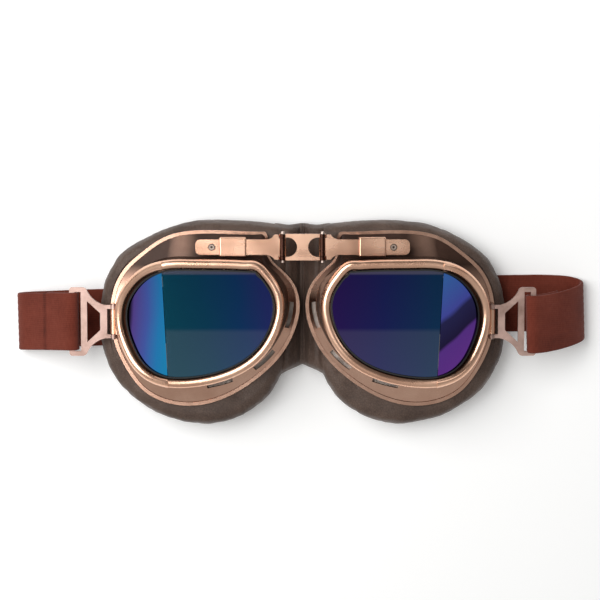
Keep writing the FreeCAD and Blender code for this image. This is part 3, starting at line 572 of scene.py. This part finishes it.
def paired_outlines():
    """The pad's outer and inner outlines, sampled at the same bearings from its middle."""
    outer = closed_curve(PAD, OUTLINE_POINTS)
    inner = closed_curve(EYE, OUTLINE_POINTS)
    picked = (np.linspace(0, 1, PAD_STEPS, endpoint=False) * len(outer)).astype(int)
    bearing = bearings(outer, PAD_CENTRE)[picked]
    inner_bearing = bearings(inner, PAD_CENTRE)
    order = np.argsort(inner_bearing)
    matched = [np.interp(bearing, inner_bearing[order], inner[order][:, k], period=FULL_TURN)
               for k in (0, 1)]
    return outer[picked], np.stack(matched, axis=1)


def strap_groove_lift(y):
    """How far the back of the pad is pushed up where the strap passes under it."""
    distance = abs(y - STRAP_MID_Y)
    return GROOVE_DEEP * smooth_share((GROOVE_HALF + GROOVE_EASE - distance) / GROOVE_EASE)


def build_pad(side, sign):
    """Leather roll round soft foam, puckered along its edges, with a cloth-lined back."""
    outer, inner = paired_outlines()
    section = closed_curve(PAD_SECTION, SECTION_STEPS)
    seed = Vector((3.1, 7.7, 1.3)) * (1.0 if sign > 0 else 2.0)
    verts = []
    for i in range(PAD_STEPS):
        way = outer[i] - inner[i]
        width = np.linalg.norm(way)
        way = way / width
        turn = i / PAD_STEPS * FULL_TURN
        for share, shift, height in section:
            spot = inner[i] + way * (share * width + shift)
            x, y = spot
            z = max(height, 0.12)
            rub = noise.noise(Vector((x, y, z)) * 0.09 + seed)
            fine = noise.noise(Vector((x, y, z * 1.5)) * 0.33 + seed)
            pucker = math.sin(turn * PUCKERS + 3.0 * noise.noise(Vector((x, y, 0)) * 0.12 + seed))
            edge = math.exp(-((z - FOOT_Z) / 2.2) ** 2) + 0.7 * math.exp(-((z - SHOULDER_Z) / 1.8) ** 2)
            outside = max(0.0, min(1.0, (share - 0.5) * 2))
            bulge = outside * (0.45 * rub + 0.25 * fine + 0.16 * pucker * edge)
            spot = spot + way * bulge
            z += 0.35 * rub * (z > 12) + 0.12 * fine * (z > 3)
            if z < 6.0:
                z += strap_groove_lift(spot[1]) * (1 - max(0.0, z - 2.0) / 4.0)
            verts.append((sign * spot[0], spot[1], max(PAD_BACK_Z, z)))
    faces = ring_faces(PAD_STEPS, SECTION_STEPS)
    slots = []
    for face in faces:
        corners = [section[v % SECTION_STEPS] for v in face]
        share = sum(corner[0] for corner in corners) / 4
        low = max(corner[2] for corner in corners) < LINING_TOP_Z
        slots.append(1 if low and 0.02 < share < 0.98 else 0)
    pad = make_object(f"pad_leather_{side}", verts, faces, [pad_leather, lining_cloth], slots)
    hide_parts(f"pad_cover_{side}", f"pad_foam_{side}", f"pad_lining_{side}")
    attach(pad, f"cup_{side}")


# ---------------------------------------------------------------- nose leather

NOSE_HALF = 13.0
NOSE_TOP_Y = 45.6
NOSE_BOTTOM_Y = -19.9
NOSE_COLUMNS = 38
NOSE_ROWS = 96
NOSE_THICK = 1.1


def nose_profile(x):
    """Height of the nose leather across its width: a valley with a soft ridge, tucked into the pads."""
    valley = 15.6 - 7.2 * math.exp(-(x / 3.6) ** 2) + 1.5 * math.exp(-(x / 1.1) ** 2)
    tuck = max(0.0, x - 7.4)
    return valley - 0.55 * tuck - 0.05 * tuck * tuck


def build_nose_half(side, sign):
    """Half of the folded leather between the pads. It rolls over to the back at both ends."""
    seed = Vector((9.0, 4.0, 2.0)) * (1.0 if sign > 0 else 1.7)
    verts = []
    for i in range(NOSE_COLUMNS):
        x = NOSE_HALF * i / (NOSE_COLUMNS - 1)
        crown = nose_profile(x)
        top = NOSE_TOP_Y + 0.3 * math.cos(x * 0.5)
        bottom = NOSE_BOTTOM_Y - 0.37 * min(x, 7.0) - 0.6 * max(0.0, x - 7.0)
        route = open_curve([
            (top - 2.6, 1.6), (top - 0.5, 4.0), (top, crown * 0.5), (top - 0.9, crown * 0.82),
            (top - 4.0, crown), (20.0, crown - 0.4), (0.0, crown - 0.8), (bottom + 5.0, crown - 0.6),
            (bottom + 1.2, crown * 0.78), (bottom, crown * 0.45), (bottom + 1.4, 1.6)], 0.5)
        picked = np.linspace(0, len(route) - 1, NOSE_ROWS).round().astype(int)
        for y, z in route[picked]:
            sway = 0.5 * noise.noise(Vector((0.0, y * 0.07, 0.0)) + seed)
            fold = 0.42 * math.cos(1.7 * (x - 3.0 + sway)) * math.exp(-((x - 3.6) / 2.4) ** 2)
            crease = 0.45 * noise.noise(Vector((x * 0.3, y * 0.09, z * 0.1)) + seed)
            ease = min(1.0, x / 1.5)
            verts.append((sign * x, y, max(1.7, z + (fold + crease) * ease)))
    faces = []
    for i in range(NOSE_COLUMNS - 1):
        for j in range(NOSE_ROWS - 1):
            a = i * NOSE_ROWS + j
            faces.append((a, a + 1, a + NOSE_ROWS + 1, a + NOSE_ROWS))
    half = make_object(f"nose_leather_{side}", verts, faces, [pad_leather])
    skin = half.modifiers.new("skin", "SOLIDIFY")
    skin.thickness = NOSE_THICK * MM
    skin.offset = 0.0
    apply_modifiers(half)
    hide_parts("nose_bridge_leather")
    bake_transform(half)


# ---------------------------------------------------------------- strap

def band_section():
    """The strap's flat section with rounded selvedges, as (across, out) pairs."""
    lip = STRAP_THICK / 2
    flat = STRAP_WIDE / 2 - lip
    round_edge = np.linspace(0.4, math.pi - 0.4, 5)
    top = [(u, lip * (0.92 + 0.08 * math.cos(u * 2.1))) for u in np.linspace(-flat, flat, 30)]
    right = [(flat + lip * math.sin(a), lip * math.cos(a)) for a in round_edge]
    bottom = [(u, -v) for u, v in reversed(top)]
    left = [(-flat - lip * math.sin(a), -lip * math.cos(a)) for a in round_edge]
    return top + right + bottom + left


def width_direction(angle):
    """The direction across the strap when it is turned by an angle about Z."""
    return np.array((-math.sin(angle), math.cos(angle), 0.0))


def sweep_band(name, route, across):
    """The strap's section along a route; across is its width direction at each point."""
    section = band_section()
    route = np.array(route)
    tangents = np.gradient(route, axis=0)
    verts = []
    for point, tangent, side in zip(route, tangents, across):
        out = np.cross(side, tangent)
        out = out / np.linalg.norm(out)
        for u, v in section:
            verts.append(tuple(point + side * u + out * v))
    around = len(section)
    faces = ring_faces(len(route), around, closed_rings=False)
    faces.append(tuple(reversed(range(around))))
    faces.append(tuple(range((len(route) - 1) * around, len(route) * around)))
    return make_object(name, verts, faces, [strap_cloth])


def strap_floor_y(x):
    """Middle line of the strap where it lies on the floor."""
    return STRAP_MID_Y + x * math.tan(STRAP_TURN)


# Middle line of each strap end: (distance out from the middle, height, how far up the middle lies).
# It runs from the stitched return, round the buckle's outer bar, out to the fold and back on the floor.
STRAP_ROUTES = {
    "right": [
        (119.6, 13.6, 1.9), (115.0, 15.6, 1.0), (111.0, 17.6, 0.6), (108.2, 18.4, 0.5), (105.6, 19.2, 0.5),
        (104.8, 21.3, 0.5), (105.6, 23.4, 0.5), (108.2, 23.9, 0.5), (112.5, 21.9, 0.7), (117.0, 19.4, 1.2),
        (122.0, 16.4, 2.0), (127.0, 12.8, 3.1), (130.6, 9.2, 4.2), (132.1, 6.2, 5.2), (131.5, 3.4, 6.1),
        (129.0, 1.5, 6.9), (125.0, 0.87, 7.6), (119.0, 0.87, 8.0), (112.0, 0.87, 8.2), (104.0, 0.87, 8.1),
        (96.0, 0.87, 8.0), (88.2, 0.87, 7.8),
    ],
    "left": [
        (119.6, 12.2, 1.0), (115.0, 14.8, 1.3), (111.0, 17.2, 1.5), (108.2, 18.4, 1.7), (105.6, 19.2, 1.8),
        (104.8, 21.3, 1.9), (105.6, 23.4, 1.9), (108.2, 23.6, 1.8), (112.5, 21.2, 1.6), (117.0, 18.0, 1.3),
        (122.0, 14.4, 0.9), (127.0, 10.7, 0.5), (131.6, 7.4, 0.1), (133.6, 4.8, -0.1), (133.2, 2.5, -0.1),
        (130.6, 1.1, 0.0), (125.0, 0.87, 0.3), (119.0, 0.87, 0.5), (112.0, 0.87, 0.8), (104.0, 0.87, 1.1),
        (96.0, 0.87, 1.35), (88.2, 0.87, 1.6),
    ],
}


# How far the strap is turned where it is round the buckle's bar.
BUCKLE_TURN = {"right": math.radians(2.0), "left": math.radians(0.6)}


def build_strap_end(side, sign):
    """One end of the strap, from its stitched return to where it goes under the pad."""
    line = open_curve([(sign * x, y, z) for x, z, y in STRAP_ROUTES[side]], 0.6)
    line[:, 2] = np.maximum(line[:, 2], STRAP_FLOOR_Z)
    across = []
    for z in line[:, 2]:
        grip = min(1.0, max(0.0, (z - 1.0) / 5.0))
        across.append(width_direction(STRAP_TURN * (1 - grip) + BUCKLE_TURN[side] * grip))
    strap = sweep_band(f"strap_webbing_{side}", line, across)
    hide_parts(f"strap_end_{side}")
    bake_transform(strap)


def build_strap_back(side, sign):
    """Half of the run behind the pads, from the middle out to where the strap end takes over."""
    xs = np.linspace(0.0, STRAP_BACK_END, 90)
    line = [(sign * x, strap_floor_y(sign * x), STRAP_FLOOR_Z) for x in xs]
    strap = sweep_band(f"strap_back_{side}", line, [width_direction(STRAP_TURN)] * len(xs))
    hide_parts("strap_band")
    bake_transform(strap)


for side_name, side_sign in SIDES:
    build_pad(side_name, side_sign)
    build_nose_half(side_name, side_sign)
    build_strap_end(side_name, side_sign)
    build_strap_back(side_name, side_sign)


# ---------------------------------------------------------------- floor, light, camera

def build_floor():
    """A near-white floor that glows a little, as the photo's background is almost pure white."""
    mesh = bpy.data.meshes.new("floor")
    reach = 3.0
    mesh.from_pydata([(-reach, -reach, 0), (reach, -reach, 0), (reach, reach, 0), (-reach, reach, 0)],
                     [], [(0, 1, 2, 3)])
    floor = bpy.data.objects.new("floor", mesh)
    bpy.context.scene.collection.objects.link(floor)
    g = Graph("floor_white")
    whites = [(0.0, (0.93, 0.93, 0.925)), (1.0, (0.95, 0.95, 0.945))]
    g.link(g.ramp(g.noise(2.0, 2.0, 0.5), whites), g.shader.inputs["Base Color"])
    g.set(Roughness=0.95, Specular_IOR_Level=0.1)
    g.set(Emission_Color=(1.0, 1.0, 0.99, 1.0), Emission_Strength=0.12)
    mesh.materials.append(g.material)


def add_area_light(name, place, target, size_x, size_y, power):
    light = bpy.data.lights.new(name, "AREA")
    light.shape = "RECTANGLE"
    light.size = size_x
    light.size_y = size_y
    light.energy = power
    obj = bpy.data.objects.new(name, light)
    obj.location = place
    obj.rotation_euler = (Vector(target) - Vector(place)).to_track_quat("-Z", "Y").to_euler()
    bpy.context.scene.collection.objects.link(obj)


# How bright the room is from the cheek side (0) round to the brow side (1), and the two panels in metres.
ROOM_LEVELS = [(0.0, 0.42), (0.42, 0.46), (0.465, 0.20), (0.60, 0.17), (0.74, 0.10), (1.0, 0.16)]
KEY_PLACE = (-0.800, 0.50, 1.2)
KEY_TARGET = (-0.800, 0.50, 0.0)
RIM_PLACE = (1.1, 0.5, 0.55)
RIM_TARGET = (0.0, 0.0, 0.02)


def build_light():
    """A dim room, darkest towards the brow, with a large soft panel overhead and a small one to the right."""
    world = bpy.data.worlds.new("studio")
    world.use_nodes = True
    tree = world.node_tree
    background = tree.nodes["Background"]
    coords = tree.nodes.new("ShaderNodeTexCoord")
    split = tree.nodes.new("ShaderNodeSeparateXYZ")
    tree.links.new(coords.outputs["Generated"], split.inputs["Vector"])
    shift = tree.nodes.new("ShaderNodeMapRange")
    shift.inputs["From Min"].default_value = -1.0
    shift.inputs["From Max"].default_value = 1.0
    tree.links.new(split.outputs["Y"], shift.inputs["Value"])
    ramp = tree.nodes.new("ShaderNodeValToRGB")
    elements = ramp.color_ramp.elements
    while len(elements) < len(ROOM_LEVELS):
        elements.new(0.5)
    for element, (place, level) in zip(elements, ROOM_LEVELS):
        element.position = place
        element.color = (level, level, level * 0.99, 1.0)
    tree.links.new(shift.outputs["Result"], ramp.inputs["Fac"])
    tree.links.new(ramp.outputs["Color"], background.inputs["Color"])
    background.inputs["Strength"].default_value = 1.0
    bpy.context.scene.world = world
    add_area_light("key", KEY_PLACE, KEY_TARGET, size_x=1.28, size_y=1.3, power=27.0)
    add_area_light("rim", RIM_PLACE, RIM_TARGET, size_x=0.3, size_y=0.7, power=1.2)


CAMERA_LENS = 145.5
CAMERA_TARGET = Vector((-0.0012, 0.0095, 0.0))
CAMERA_DISTANCE = 1.15
CAMERA_TILT = math.radians(6.0)


def build_camera():
    """A long lens above the goggles, leaning a little towards the brow."""
    camera = bpy.data.cameras.new("camera")
    camera.lens = CAMERA_LENS
    camera.sensor_width = 36.0
    obj = bpy.data.objects.new("camera", camera)
    away = Vector((0.0, math.sin(CAMERA_TILT), math.cos(CAMERA_TILT)))
    obj.location = CAMERA_TARGET + CAMERA_DISTANCE * away
    obj.rotation_euler = (-CAMERA_TILT, 0.0, 0.0)
    bpy.context.scene.collection.objects.link(obj)
    bpy.context.scene.camera = obj


build_floor()
build_light()
build_camera()
bpy.context.scene.view_settings.view_transform = "Standard"
